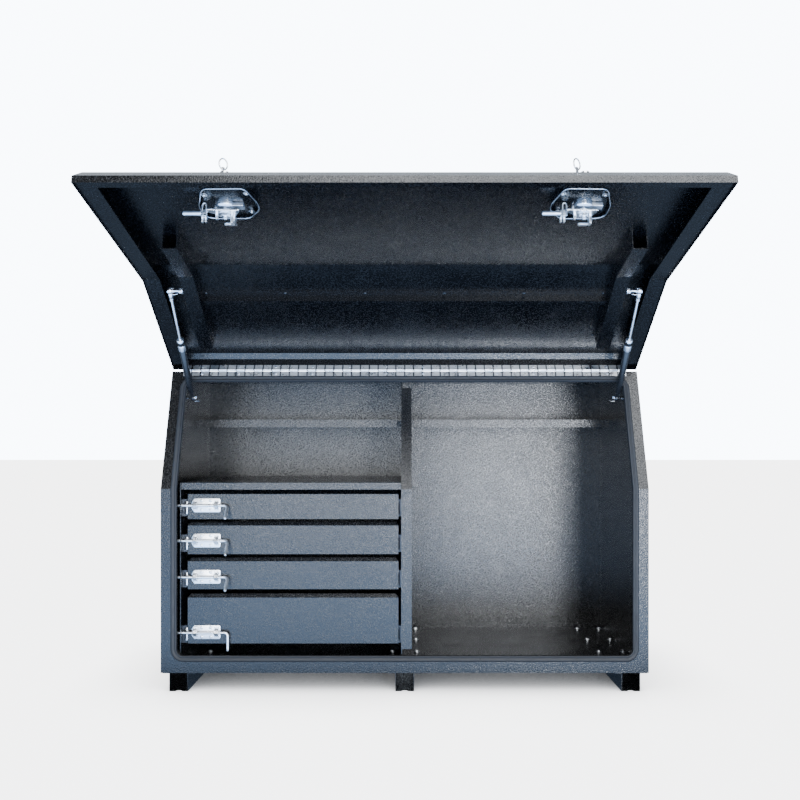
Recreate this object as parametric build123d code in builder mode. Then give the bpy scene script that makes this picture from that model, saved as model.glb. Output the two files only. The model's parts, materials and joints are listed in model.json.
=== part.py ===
"""Top-hinged steel tool box with a cranked full-width door, drawers, shelves and three channel feet.

Millimetres, +Z up, front towards -Y, origin on the ground under the middle of the box.
The door stands open: every door piece is drawn as if shut, on planes carried to the open door.
"""
import math
import os

from build123d import *

os.makedirs("parts", exist_ok=True)

# ---- driving dimensions -------------------------------------------------------------------
width = 1300.0
depth = 600.0
body_height = 813.0
bend_height = 490.0
setback = 123.0
foot_height = 50.0
sheet = 2.0
fit_gap = 0.06
clear_gap = 0.4

# front frame around the opening
stile_width = 43.0
sill_height = 46.0
header_width = 32.0
lip_height = 9.0
seal_height = 11.5
seal_outer = 13.5
seal_inner = 3.5

# door
door_open_deg = 102.25
door_gap = 8.0
door_thickness = 50.0
door_side_gap = 1.0
door_edge_lip = 15.0
door_bevel = 50.0
door_back_bevel = 13.0
hinge_length = 1240.0
knuckle_radius = 3.0
hinge_pin_radius = 1.5
leaf_thickness = 1.5
knuckle_count = 50
hinge_rivet_count = 12
hinge_rivet_pitch = 103.0

# inside
divider_left = -9.3
divider_face = 28.0
cabinet_left = -600.0
cabinet_front = 8.0
cabinet_top_height = 505.7
shelf_height = 686.0
shelf_front = 392.0
drawer_front = 30.0
drawer_back = 540.0
drawer_left = -584.5
drawer_right = -17.0
drawer_box_left = -585.3
drawer_box_right = -22.0
drawer_bottoms = (407.4, 312.9, 218.4, 72.1)
drawer_heights = (67.1, 76.9, 75.0, 123.4)
slide_heights = (438.0, 342.0, 246.0, 97.0)
bolt_heights = (444.5, 349.8, 252.1, 102.8)
bolt_grip_angles = (48.0, 44.0, 50.0, 0.0)
slide_length = 500.0
slide_thickness = 12.7

# feet
foot_positions = (-603.0, 0.0, 603.0)
foot_web = 50.0
foot_overall = 86.0
foot_bolt_offset = 35.0
foot_bolt_rows = (75.0, 240.0, 405.0, 570.0)
tray_hole_radius = 5.5
tray_hole_y = 200.0

# gas struts
strut_x = 595.0
strut_low = (130.0, 739.0)
strut_high = (-118.0, 996.7)
strut_tube_radius = 9.0
strut_rod_radius = 4.0
strut_tube_end = 203.0
strut_rod_length = 175.0
strut_pin_radius = 4.0

# latches
latch_x = 382.0
latch_z = 171.0
latch_rod_reach = 90.0
latch_rod_radius = 4.2

# ---- derived ------------------------------------------------------------------------------
half = width / 2
front_y = -depth / 2
back_y = depth / 2
floor_z = foot_height
top_z = foot_height + body_height
bend_z = foot_height + bend_height
lean = math.atan2(setback, body_height - bend_height)
slant_length = math.hypot(setback, body_height - bend_height)
opening_x = half - stile_width
door_half = half - door_side_gap
door_skin = door_gap + door_thickness
hinge_v = slant_length + knuckle_radius
hinge_n = knuckle_radius
wall_v = hinge_v + knuckle_radius


def low(n, z):
    """Point n in front of the upright front, z above the box's floor."""
    return (front_y - n, floor_z + z)


def bend(n):
    """Point where the two front faces meet, for the faces moved out by n."""
    return (front_y - n, bend_z + n * math.tan(lean / 2))


def slant(n, v):
    """Point n in front of the sloping front, v up the slope from the bend."""
    return (
        front_y + v * math.sin(lean) - n * math.cos(lean),
        bend_z + v * math.cos(lean) + n * math.sin(lean),
    )


def slant_at(n, z):
    """Point at height z on the sloping front moved out by n."""
    return slant(n, (z - bend_z - n * math.sin(lean)) / math.cos(lean))


def band(n_low, n_high, z_end, v_end):
    """Outline between two offsets of the cranked front, from z_end up round the bend to v_end."""
    return [
        low(n_low, z_end), bend(n_low), slant(n_low, v_end),
        slant(n_high, v_end), bend(n_high), low(n_high, z_end),
    ]


def upright(n_low, n_high, z_low, z_high):
    """Rectangle on the upright front."""
    return [low(n_low, z_low), low(n_low, z_high), low(n_high, z_high), low(n_high, z_low)]


def sloping(n_low, n_high, v_low, v_high):
    """Rectangle on the sloping front."""
    return [slant(n_low, v_low), slant(n_low, v_high), slant(n_high, v_high), slant(n_high, v_low)]


hinge_point = slant(hinge_n, hinge_v)
hinge_place = Pos(0, hinge_point[0], hinge_point[1])
door_swing = hinge_place * Rot(-door_open_deg, 0, 0) * hinge_place.inverse()


def fixed(plane):
    """A plane of the box itself."""
    return plane


def on_door(plane):
    """The same plane carried round by the door from shut to open."""
    return Plane(door_swing * plane.location)


def door_point(point):
    """A (y, z) point of the shut door, where it is with the door open."""
    moved = (door_swing * Pos(0, point[0], point[1])).position
    return (moved.Y, moved.Z)


def slab(x_low, x_high, outline, place=fixed, mode=Mode.ADD):
    """Plate between two X positions with an outline of (y, z) points."""
    with BuildSketch(place(Plane.YZ.offset(x_low))) as profile:
        with BuildLine():
            Polyline(*outline, close=True)
        make_face()
    extrude(profile.sketch, amount=x_high - x_low, mode=mode)


def block(x, y, z, mode=Mode.ADD):
    """Box from its X, Y and Z ranges."""
    with Locations(((x[0] + x[1]) / 2, (y[0] + y[1]) / 2, (z[0] + z[1]) / 2)):
        Box(x[1] - x[0], y[1] - y[0], z[1] - z[0], mode=mode)


def pin_x(x_low, x_high, point, radius, place=fixed, mode=Mode.ADD):
    """Round pin along X through a (y, z) point."""
    with BuildSketch(place(Plane.YZ.offset(x_low))) as section:
        with Locations(point):
            Circle(radius)
    extrude(section.sketch, amount=x_high - x_low, mode=mode)


def face_plane(x, n, z):
    """Plane parallel to the shut door's upright face, X right, Z up, facing out."""
    return Plane(origin=(x, front_y - n, floor_z + z), x_dir=(1, 0, 0), z_dir=(0, -1, 0))


def slope_plane(x, n, v):
    """Plane parallel to the sloping front, X right, up the slope, facing out."""
    y, z = slant(n, v)
    return Plane(
        origin=(x, y, z), x_dir=(1, 0, 0), z_dir=(0, -math.cos(lean), math.sin(lean))
    )


def save(part, name):
    """Labels a finished piece and writes it."""
    part.label = name
    export_step(part, f"parts/{name}.step")


def depth_y(d):
    """Y at depth d behind the upright front."""
    return front_y + d


# ---- body shell ---------------------------------------------------------------------------
bolt_columns = [x + side * foot_bolt_offset for x in foot_positions for side in (-1, 1)]
bolt_spots = [(x, depth_y(d)) for x in bolt_columns for d in foot_bolt_rows]

with BuildPart() as floor_panel:
    block((sheet - half, half - sheet), (front_y + sheet, back_y - sheet), (floor_z, floor_z + sheet))
    with Locations(Plane.XY.offset(floor_z + sheet)):
        with Locations(*bolt_spots):
            Hole(4.5)
save(floor_panel.part, "floor_panel")

with BuildPart() as back_panel:
    block((sheet - half, half - sheet), (back_y - sheet, back_y), (floor_z, top_z - sheet))
save(back_panel.part, "back_panel")

with BuildPart() as roof_panel:
    roof_edge = [slant_at(-sheet, top_z), slant_at(-sheet, top_z - sheet)]
    slab(sheet - half, half - sheet, [roof_edge[0], (back_y, top_z), (back_y, top_z - sheet), roof_edge[1]])
    header_low = slant_length - header_width
    header_face = [
        slant(0, header_low), slant_at(0, top_z), slant_at(-sheet, top_z), slant(-sheet, header_low),
    ]
    slab(-opening_x, opening_x, header_face)
    slab(-opening_x, opening_x, sloping(0, lip_height, header_low, header_low + sheet))
save(roof_panel.part, "roof_panel")

side_outline = [
    low(0, 0), (back_y, floor_z), (back_y, top_z), slant_at(0, top_z), bend(0),
]
stile_outline = [
    low(0, 0), bend(0), slant_at(0, top_z), slant_at(-sheet, top_z), bend(-sheet), low(-sheet, 0),
]
for side, name in ((-1, "left_end_panel"), (1, "right_end_panel")):
    with BuildPart() as end_panel:
        wall = sorted((side * half, side * (half - sheet)))
        stile = sorted((side * (half - sheet), side * opening_x))
        lip = sorted((side * opening_x, side * (opening_x + sheet)))
        slab(*wall, side_outline)
        slab(*stile, stile_outline)
        slab(*lip, band(0, lip_height, sill_height - sheet, header_low + sheet))
    save(end_panel.part, name)

with BuildPart() as front_sill:
    slab(-opening_x, opening_x, upright(-sheet, 0, 0, sill_height))
    slab(-opening_x, opening_x, upright(0, lip_height, sill_height - sheet, sill_height))
save(front_sill.part, "front_sill")

# ---- rubber seal pushed over the upstand lip ----------------------------------------------
seal_out_x = opening_x + sheet + seal_outer
seal_in_x = opening_x - seal_inner + sheet
seal_low_z = sill_height - sheet - seal_outer
seal_top_v = header_low + sheet + seal_outer
with BuildPart() as door_seal:
    slab(-seal_out_x, seal_out_x, band(0, seal_height, seal_low_z, seal_top_v))
    slab(
        -seal_in_x, seal_in_x,
        band(-1, seal_height + 1, sill_height - sheet + seal_inner, header_low + sheet - seal_inner),
        mode=Mode.SUBTRACT,
    )
    for side in (-1, 1):
        groove = sorted((side * opening_x, side * (opening_x + sheet)))
        slab(
            *groove, band(-1, lip_height, sill_height - sheet, header_low + sheet), mode=Mode.SUBTRACT
        )
    slab(
        -opening_x, opening_x, upright(-1, lip_height, sill_height - sheet, sill_height),
        mode=Mode.SUBTRACT,
    )
    slab(
        -opening_x, opening_x, sloping(-1, lip_height, header_low, header_low + sheet),
        mode=Mode.SUBTRACT,
    )
save(door_seal.part, "door_seal")

# ---- divider, drawer cabinet and shelves --------------------------------------------------
divider_low = 63.0
divider_high = 767.0
divider_set = 3.0
with BuildPart() as divider:
    web_outline = [
        low(-divider_set - sheet, sheet), (back_y - sheet, floor_z + sheet),
        (back_y - sheet, top_z - sheet), slant_at(-divider_set - sheet, top_z - sheet),
        bend(-divider_set - sheet),
    ]
    slab(divider_left, divider_left + sheet, web_outline)
    high_v = (divider_high - bend_height) / math.cos(lean)
    slab(
        divider_left, divider_left + divider_face,
        band(-divider_set - sheet, -divider_set, divider_low, high_v),
    )
    slab(
        divider_left + divider_face - sheet, divider_left + divider_face,
        band(-divider_set - sheet - 20, -divider_set - sheet, divider_low, high_v),
    )
save(divider.part, "divider")

with BuildPart() as cabinet_side:
    block(
        (cabinet_left, cabinet_left + sheet),
        (depth_y(cabinet_front), depth_y(drawer_back + 20)),
        (floor_z + sheet, floor_z + cabinet_top_height - sheet),
    )
    for bolt_z in bolt_heights:
        keeper = (depth_y(19), floor_z + bolt_z)
        pin_x(cabinet_left - 1, cabinet_left + sheet + 1, keeper, 4.6, mode=Mode.SUBTRACT)
save(cabinet_side.part, "cabinet_side")

with BuildPart() as cabinet_top:
    block(
        (cabinet_left, divider_left),
        (depth_y(13), back_y - sheet),
        (floor_z + cabinet_top_height - sheet, floor_z + cabinet_top_height),
    )
    block(
        (cabinet_left + sheet + 0.5, divider_left - 0.5),
        (depth_y(13), depth_y(13) + sheet),
        (floor_z + cabinet_top_height - 18, floor_z + cabinet_top_height - sheet),
    )
save(cabinet_top.part, "cabinet_top")

for name, x_low, x_high in (
    ("left_shelf", sheet - half, divider_left),
    ("right_shelf", divider_left + sheet, half - sheet),
):
    with BuildPart() as shelf:
        shelf_z = floor_z + shelf_height
        block((x_low, x_high), (depth_y(shelf_front), back_y - sheet), (shelf_z - sheet, shelf_z))
        block(
            (x_low + 6, x_high - 15),
            (depth_y(shelf_front), depth_y(shelf_front) + sheet),
            (shelf_z - 24, shelf_z - sheet),
        )
    save(shelf.part, name)

with BuildPart() as shelf_brackets:
    leg = 28.0
    bracket_z = floor_z + shelf_height - sheet
    bracket_y = (depth_y(shelf_front) + 8, back_y - sheet - 8)
    for x_wall, side in (
        (sheet - half, 1), (divider_left, -1), (divider_left + sheet, 1), (half - sheet, -1),
    ):
        upright_leg = tuple(sorted((x_wall, x_wall + side * sheet)))
        flat_leg = tuple(sorted((x_wall + side * sheet, x_wall + side * leg)))
        block(upright_leg, bracket_y, (bracket_z - leg, bracket_z))
        block(flat_leg, bracket_y, (bracket_z - sheet, bracket_z))
save(shelf_brackets.part, "shelf_brackets")

# ---- feet and their bolts -----------------------------------------------------------------
for x_foot, name in zip(foot_positions, ("left_foot", "middle_foot", "right_foot")):
    with BuildPart() as foot:
        y_foot = (front_y + 4, back_y - 4)
        web = foot_web / 2
        block((x_foot - web, x_foot + web), y_foot, (0, sheet))
        for side in (-1, 1):
            wall = tuple(sorted((x_foot + side * web, x_foot + side * (web - sheet))))
            wing = tuple(sorted((x_foot + side * (web - sheet), x_foot + side * foot_overall / 2)))
            block(wall, y_foot, (0, floor_z - sheet))
            block(wing, y_foot, (floor_z - sheet, floor_z))
        with Locations(Plane.XY.offset(floor_z)):
            spots = [
                (x_foot + side * foot_bolt_offset, depth_y(d)) for side in (-1, 1) for d in foot_bolt_rows
            ]
            with Locations(*spots):
                Hole(4.5, depth=sheet + 1)
        with Locations(Plane.XY.offset(sheet)):
            with Locations((x_foot, -tray_hole_y), (x_foot, tray_hole_y)):
                Hole(tray_hole_radius, depth=sheet + 1)
        with BuildSketch(Plane.XY):
            with Locations((x_foot, y_foot[0])):
                Circle(9)
        extrude(amount=sheet, mode=Mode.SUBTRACT)
    save(foot.part, name)

with BuildPart() as foot_bolts:
    for spot in bolt_spots:
        with BuildSketch(Plane.XY.offset(floor_z + sheet)):
            with Locations(spot):
                RegularPolygon(7.2, 6)
        extrude(amount=5.3)
        with BuildSketch(Plane.XY.offset(floor_z - 12)):
            with Locations(spot):
                Circle(4)
        extrude(amount=12 + sheet)
        with BuildSketch(Plane.XY.offset(floor_z - sheet - 6.5)):
            with Locations(spot):
                RegularPolygon(7.2, 6)
        extrude(amount=6.5)
save(foot_bolts.part, "foot_bolts")

# ---- piano hinge --------------------------------------------------------------------------
pitch = hinge_length / knuckle_count
knuckle_starts = [-hinge_length / 2 + i * pitch for i in range(knuckle_count)]
rivet_columns = [
    (i - (hinge_rivet_count - 1) / 2) * hinge_rivet_pitch for i in range(hinge_rivet_count)
]
body_rivet_v = slant_length - 8
door_rivet_n = 15.5


def knuckles(starts, tab, place):
    """Rolled knuckles and the tabs that join them to their leaf."""
    for start in starts:
        ends = (start + 0.15, start + pitch - 0.15)
        slab(*ends, tab, place)
        pin_x(*ends, hinge_point, knuckle_radius, place)
        pin_x(*ends, hinge_point, hinge_pin_radius + fit_gap, place, Mode.SUBTRACT)


with BuildPart() as hinge_body_leaf:
    slab(
        -hinge_length / 2, hinge_length / 2,
        sloping(0, leaf_thickness, slant_length - 14.5, slant_length - clear_gap),
    )
    knuckles(knuckle_starts[0::2], sloping(0, leaf_thickness, slant_length - clear_gap, hinge_v), fixed)
    with Locations(*[slope_plane(x, leaf_thickness, body_rivet_v) for x in rivet_columns]):
        Hole(2.05, depth=2 * leaf_thickness)
save(hinge_body_leaf.part, "hinge_body_leaf")

with BuildPart() as hinge_door_leaf:
    leaf_n = hinge_n + knuckle_radius + clear_gap
    slab(
        -hinge_length / 2, hinge_length / 2,
        sloping(leaf_n, leaf_n + 15, wall_v - leaf_thickness, wall_v), on_door,
    )
    knuckles(
        knuckle_starts[1::2], sloping(hinge_n, leaf_n, wall_v - leaf_thickness, wall_v), on_door
    )
save(hinge_door_leaf.part, "hinge_door_leaf")

with BuildPart() as hinge_pin:
    pin_x(-hinge_length / 2, hinge_length / 2, hinge_point, hinge_pin_radius)
save(hinge_pin.part, "hinge_pin")

with BuildPart() as hinge_body_rivets:
    for x in rivet_columns:
        with BuildSketch(slope_plane(x, 0, body_rivet_v)):
            Circle(2)
        extrude(amount=leaf_thickness)
        with BuildSketch(slope_plane(x, leaf_thickness, body_rivet_v)):
            Circle(3.4)
        extrude(amount=1.1)
save(hinge_body_rivets.part, "hinge_body_rivets")

# ---- door shell ---------------------------------------------------------------------------
door_top_v = wall_v + sheet
door_outline = [
    slant(door_gap, door_top_v), slant(door_skin - door_back_bevel, door_top_v),
    slant(door_skin, door_top_v - door_back_bevel), bend(door_skin),
    low(door_skin, door_bevel), low(door_gap + door_edge_lip, 0), low(door_gap, 0), bend(door_gap),
]
latch_outline = [
    (-40, -68), (-31, -80), (47, -82), (56, -72), (72, -14),
    (71, 13), (43, 54), (-40, 54), (-57, 40), (-58, -4),
]
latch_screws = [(-37, -47), (52.5, -53), (50.5, 28)]
clamp_n = 43.0


def latch_shape(side, inset):
    """Home-plate outline around a latch, its point towards the middle of the door."""
    with BuildLine() as outline:
        Polyline(*[(-side * x, y) for x, y in latch_outline], close=True)
    make_face(outline.edges())
    if inset:
        offset(amount=-inset, kind=Kind.INTERSECTION, mode=Mode.REPLACE)


with BuildPart() as door_skin_pan:
    slab(-door_half, door_half, door_outline, on_door)
    with BuildSketch(on_door(Plane.YZ.offset(sheet - door_half))):
        with BuildLine():
            Polyline(*door_outline, close=True)
        make_face()
        offset(amount=-sheet, kind=Kind.INTERSECTION, mode=Mode.REPLACE)
        with BuildLine():
            Polyline(*band(door_gap - 4, door_gap + 4, sheet, wall_v), close=True)
        make_face()
    extrude(amount=2 * (door_half - sheet), mode=Mode.SUBTRACT)
    for side in (-1, 1):
        with BuildSketch(on_door(face_plane(side * latch_x, door_skin - sheet - 1, latch_z))):
            latch_shape(side, 8)
        extrude(amount=sheet + 2, mode=Mode.SUBTRACT)
save(door_skin_pan.part, "door_skin")

rim_n = 12.0
rim_width = 40.0
rim_front_width = 28.0
rim_top_v = slant_length - 12
rim_edge = door_half - sheet
with BuildPart() as door_rim:
    slab(-rim_edge, rim_edge, upright(rim_n, rim_n + sheet, sheet, rim_front_width), on_door)
    for side in (-1, 1):
        face = sorted((side * rim_edge, side * (rim_edge - rim_width)))
        web = sorted((side * rim_edge, side * (rim_edge - sheet)))
        slab(*face, band(rim_n, rim_n + sheet, rim_front_width - sheet, rim_top_v), on_door)
        slab(*web, band(rim_n + sheet, door_skin - 12, door_bevel + 10, rim_top_v), on_door)
save(door_rim.part, "door_rim")

plate_x = (468.0, 520.0)
plate_v = (212.0, 226.0)
with BuildPart() as door_plate:
    slab(*plate_x, sloping(door_skin - sheet - 1, door_skin - sheet, *plate_v), on_door)
save(door_plate.part, "door_plate")

channel_out = 561.0
channel_in = 525.0
channel_n = 20.0
channel_low = 330.0
channel_top = 275.0
for side, name in ((-1, "door_left_channel"), (1, "door_right_channel")):
    with BuildPart() as channel:
        face = sorted((side * channel_out, side * channel_in))
        slab(*face, band(channel_n, channel_n + sheet, channel_low, channel_top), on_door)
        for x in (channel_out, channel_in + sheet):
            leg = sorted((side * x, side * (x - sheet)))
            slab(
                *leg, band(channel_n + sheet, door_skin - sheet, channel_low, channel_top), on_door
            )
    save(channel.part, name)

rail_v = 82.0
with BuildPart() as door_cross_rail:
    skin_n = door_skin - sheet
    slab(-channel_in, channel_in, sloping(skin_n - sheet, skin_n, rail_v, rail_v + 22), on_door)
    slab(-channel_in, channel_in, sloping(skin_n - 20, skin_n - sheet, rail_v + 20, rail_v + 22), on_door)
    slab(-channel_in, channel_in, sloping(skin_n - 20, skin_n - 18, rail_v + 22, rail_v + 32), on_door)
save(door_cross_rail.part, "door_cross_rail")

with BuildPart() as door_rivets:
    for x in rivet_columns:
        y, z = slant(door_rivet_n, wall_v - leaf_thickness)
        wall_plane = Plane(
            origin=(x, y, z), x_dir=(1, 0, 0), z_dir=(0, -math.sin(lean), -math.cos(lean))
        )
        with BuildSketch(on_door(wall_plane)):
            Circle(3.4)
        extrude(amount=1.1)
    for i in range(6):
        rail_spot = slope_plane(-515 + 206 * i, door_skin - 2 * sheet, rail_v + 11)
        with BuildSketch(on_door(rail_spot)):
            Circle(4.5)
        extrude(amount=-1.6)
save(door_rivets.part, "door_rivets")

# ---- gas struts ---------------------------------------------------------------------------
strut_low_point = (depth_y(strut_low[0]), floor_z + strut_low[1])
strut_high_point = (depth_y(strut_high[0]), floor_z + strut_high[1])
strut_run = math.dist(strut_low_point, strut_high_point)
strut_y = (strut_high_point[0] - strut_low_point[0]) / strut_run
strut_z = (strut_high_point[1] - strut_low_point[1]) / strut_run

with BuildPart() as strut_body_studs:
    for side in (-1, 1):
        wall_x = side * (half - sheet)
        pin_x(*sorted((wall_x, side * (strut_x - 7))), strut_low_point, strut_pin_radius)
        pin_x(*sorted((wall_x, wall_x - side * 3)), strut_low_point, 14)
        pin_x(*sorted((wall_x - side * 3, side * (strut_x + 9))), strut_low_point, 6.5)
save(strut_body_studs.part, "strut_body_studs")

with BuildPart() as strut_door_studs:
    for side in (-1, 1):
        pin_x(*sorted((side * channel_out, side * (channel_out + 6))), strut_high_point, 8)
        pin_x(*sorted((side * (channel_out + 6), side * (strut_x - 7.5))), strut_high_point, 4.5)
save(strut_door_studs.part, "strut_door_studs")


def strut_plane(side, along):
    """Plane square to the strut at a distance from its lower pin."""
    return Plane(
        origin=(
            side * strut_x,
            strut_low_point[0] + strut_y * along,
            strut_low_point[1] + strut_z * along,
        ),
        x_dir=(1, 0, 0),
        z_dir=(0, strut_y, strut_z),
    )


def strut_length(side, radius, start, end, mode=Mode.ADD):
    """Round length of a strut."""
    with BuildSketch(strut_plane(side, start)) as section:
        Circle(radius)
    extrude(section.sketch, amount=end - start, mode=mode)


for side, word in ((-1, "left"), (1, "right")):
    with BuildPart() as strut_tube:
        strut_length(side, strut_tube_radius, 22, strut_tube_end)
        strut_length(side, 5.5, 4, 22)
        pin_x(side * strut_x - 6, side * strut_x + 6, strut_low_point, 8)
        pin_x(
            side * strut_x - 7, side * strut_x + 7, strut_low_point,
            strut_pin_radius + fit_gap, mode=Mode.SUBTRACT,
        )
        strut_length(side, 7.6, 40, strut_tube_end - 6, Mode.SUBTRACT)
        bore = strut_rod_radius + fit_gap
        strut_length(side, bore, strut_tube_end - 7, strut_tube_end + 1, Mode.SUBTRACT)
    save(strut_tube.part, f"{word}_strut_tube")

    with BuildPart() as strut_rod:
        strut_length(side, strut_rod_radius, strut_run - strut_rod_length, strut_run - 6)
        strut_length(side, 7.2, strut_run - strut_rod_length, strut_run - strut_rod_length + 9)
        strut_length(side, 5.5, strut_run - 24, strut_run - 5)
        pin_x(side * strut_x - 6, side * strut_x + 6, strut_high_point, 8)
    save(strut_rod.part, f"{word}_strut_rod")

# ---- door latches -------------------------------------------------------------------------
dish_floor = 50.0
boss_end = 38.0
handle_n = 94.0
key_shift = -10.0
handle_thickness = 14.0
handle_reach = 38.0
shaft_end = 52.0
spindle_end = 16.0


def latch_plane(side, n, x=0.0, z=0.0):
    """Plane facing out of the open door, n in front of the box's front, off a latch's axis."""
    return on_door(face_plane(side * latch_x + x, n, latch_z + z))


with BuildPart() as latch_clamps:
    for side in (-1, 1):
        with BuildSketch(latch_plane(side, clamp_n)):
            latch_shape(side, 0)
        extrude(amount=door_skin - sheet - clamp_n)
        with BuildSketch(latch_plane(side, clamp_n)):
            latch_shape(side, 2.5)
        extrude(amount=door_skin - 2 * sheet - clamp_n, mode=Mode.SUBTRACT)
        with BuildSketch(latch_plane(side, clamp_n)):
            latch_shape(side, 8)
        extrude(amount=20, mode=Mode.SUBTRACT)
        for radius, height in ((8, 2), (4.5, 5)):
            with BuildSketch(latch_plane(side, dish_floor - height)):
                with Locations(*[(-side * x, z) for x, z in latch_screws]):
                    Circle(radius)
            extrude(amount=height)
save(latch_clamps.part, "latch_clamps")

for side, word in ((-1, "left"), (1, "right")):
    with BuildPart() as latch_housing:
        with BuildSketch(latch_plane(side, door_skin)):
            latch_shape(side, -6)
        extrude(amount=3)
        with BuildSketch(latch_plane(side, dish_floor)):
            latch_shape(side, 8)
        extrude(amount=door_skin - dish_floor)
        with BuildSketch(latch_plane(side, dish_floor + sheet)):
            latch_shape(side, 10)
        extrude(amount=20, mode=Mode.SUBTRACT)
        with BuildSketch(latch_plane(side, boss_end)):
            Circle(20)
            with Locations((32, 0)):
                Rectangle(34, 20)
        extrude(amount=dish_floor - boss_end)
        with BuildSketch(latch_plane(side, boss_end - 1)):
            Circle(7 + fit_gap)
        extrude(amount=20, mode=Mode.SUBTRACT)
    save(latch_housing.part, f"{word}_latch_housing")

    with BuildPart() as latch_cam:
        with BuildSketch(latch_plane(side, spindle_end)):
            Circle(7)
        extrude(amount=dish_floor + 6 - spindle_end)
        with BuildSketch(latch_plane(side, 26)):
            Circle(24)
            with Locations((-35, 0)):
                Rectangle(34, 20)
        extrude(amount=4)
        with BuildSketch(latch_plane(side, 19, -48)):
            Rectangle(9, 22)
        extrude(amount=9)
        with BuildSketch(latch_plane(side, 19)):
            RegularPolygon(11, 6)
        extrude(amount=8)
        rod_start = on_door(
            Plane(
                origin=(side * latch_x - 46, front_y - 23.5, floor_z + latch_z),
                x_dir=(0, 1, 0), z_dir=(-1, 0, 0),
            )
        )
        with BuildSketch(rod_start):
            Circle(latch_rod_radius)
        extrude(amount=latch_rod_reach - 46)
        with BuildSketch(latch_plane(side, shaft_end - 34)):
            Circle(4 + fit_gap)
        extrude(amount=80, mode=Mode.SUBTRACT)
    save(latch_cam.part, f"{word}_latch_cam")

    with BuildPart() as latch_handle:
        with BuildSketch(latch_plane(side, handle_n)):
            SlotOverall(2 * handle_reach, 20, rotation=90)
            Ellipse(20, 14)
        extrude(amount=handle_thickness)
        with BuildSketch(latch_plane(side, shaft_end)):
            Circle(4)
        extrude(amount=handle_n - shaft_end)
        with BuildSketch(latch_plane(side, handle_n + 2, key_shift)):
            Circle(7 + fit_gap)
        extrude(amount=handle_thickness, mode=Mode.SUBTRACT)
    save(latch_handle.part, f"{word}_latch_handle")

    with BuildPart() as latch_key:
        with BuildSketch(latch_plane(side, handle_n + 2.5, key_shift)):
            Circle(7)
        extrude(amount=handle_thickness + 2)
        key_plane = on_door(
            Plane(
                origin=(
                    side * latch_x + key_shift - 1,
                    front_y - handle_n - handle_thickness - 4,
                    floor_z + latch_z,
                ),
                x_dir=(0, 0, 1), z_dir=(1, 0, 0),
            )
        )
        with BuildSketch(key_plane):
            with Locations((0, 12)):
                Rectangle(7, 24)
            with Locations((0, 36)):
                RectangleRounded(21, 25, 6)
            with Locations((0, 43)):
                Circle(3.4, mode=Mode.SUBTRACT)
        extrude(amount=2)
    save(latch_key.part, f"{word}_latch_key")

# ---- ball-bearing drawer slides, drawers and barrel bolts ---------------------------------
slide_outer_height = 45.0
slide_middle_height = 40.0
slide_inner_height = 34.0
slide_sheet = 1.5
slide_sides = ((drawer_box_left - slide_thickness, 1), (drawer_box_right + slide_thickness, -1))


def slide_member(x_wall, side, height, slide_z, web, lips, length, start=drawer_front + 2):
    """C-section member: web and lips are distances from the wall that carries the slide."""
    y = (depth_y(start), depth_y(start) + length)
    middle = floor_z + slide_z
    block(tuple(sorted(x_wall + side * t for t in web)), y, (middle - height / 2, middle + height / 2))
    for end in (-1, 1):
        z = sorted((middle + end * height / 2, middle + end * (height / 2 - slide_sheet)))
        block(tuple(sorted(x_wall + side * t for t in lips)), y, tuple(z))


with BuildPart() as slide_outer_rails:
    for slide_z in slide_heights:
        for x_wall, side in slide_sides:
            slide_member(
                x_wall, side, slide_outer_height, slide_z, (0, slide_sheet), (0, 11), slide_length
            )
save(slide_outer_rails.part, "slide_outer_rails")

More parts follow.
